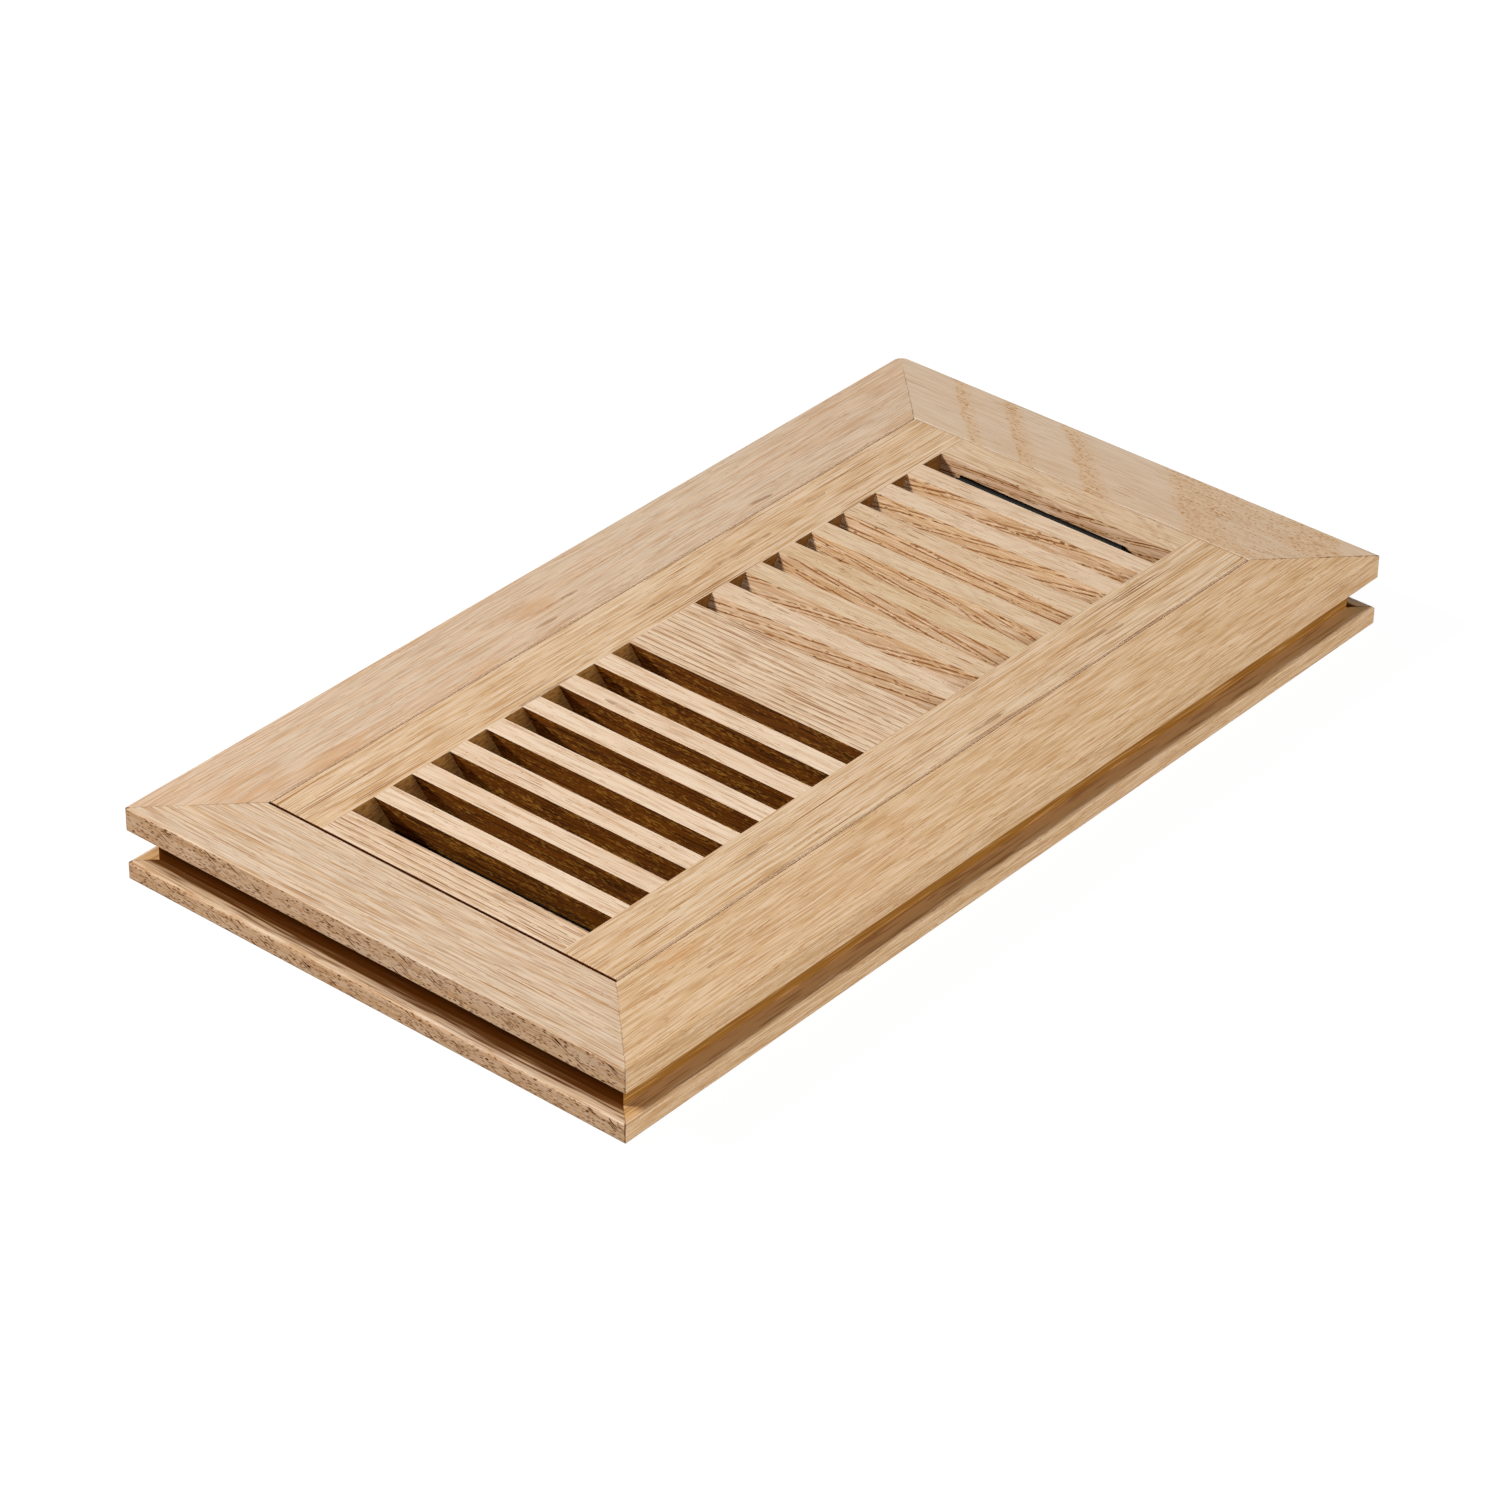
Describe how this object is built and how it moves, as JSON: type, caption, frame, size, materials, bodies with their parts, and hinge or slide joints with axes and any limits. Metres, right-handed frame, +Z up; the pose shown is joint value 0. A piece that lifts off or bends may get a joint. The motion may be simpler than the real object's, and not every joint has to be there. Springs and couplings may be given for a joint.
{
  "type": "floor register",
  "caption": "Flush wooden floor register: mitred oak frame with a grooved edge, a drop-in louvred insert and a sliding damper under the slats that opens or shuts the air slots.",
  "frame": {"origin": "centre of the frame's underside", "axes": "+X along the length towards the end with the damper tab, +Y towards the back board, +Z up through the louvred top face"},
  "size_m": [0.3302, 0.1778, 0.0232],
  "materials": {
    "frame_oak": "unfinished, sanded",
    "insert_oak": "unfinished, sanded",
    "slat_oak": "unfinished, planed",
    "black_steel": "satin black",
    "plated_steel": "zinc plated"
  },
  "bodies": {
    "register": {"near_end_board": "frame_oak", "far_end_board": "frame_oak", "front_board": "frame_oak", "back_board": "frame_oak", "front_rail": "insert_oak", "back_rail": "insert_oak", "near_end_rail": "insert_oak", "far_end_rail": "insert_oak", "centre_block": "insert_oak", "slat_near_1": "slat_oak", "slat_near_2": "slat_oak", "slat_near_3": "slat_oak", "slat_near_4": "slat_oak", "slat_near_5": "slat_oak", "slat_near_6": "slat_oak", "slat_near_7": "slat_oak", "slat_far_1": "slat_oak", "slat_far_2": "slat_oak", "slat_far_3": "slat_oak", "slat_far_4": "slat_oak", "slat_far_5": "slat_oak", "slat_far_6": "slat_oak", "slat_far_7": "slat_oak", "damper_guide_front": "plated_steel", "damper_guide_back": "plated_steel", "guide_screws": "plated_steel"},
    "damper": {"damper_plate": "black_steel"}
  },
  "joints": [
    {"name": "damper_slide", "type": "slide", "parent": "register", "child": "damper", "axis": [1, 0, 0], "range_m": [-0.0074, 0]}
  ]
}
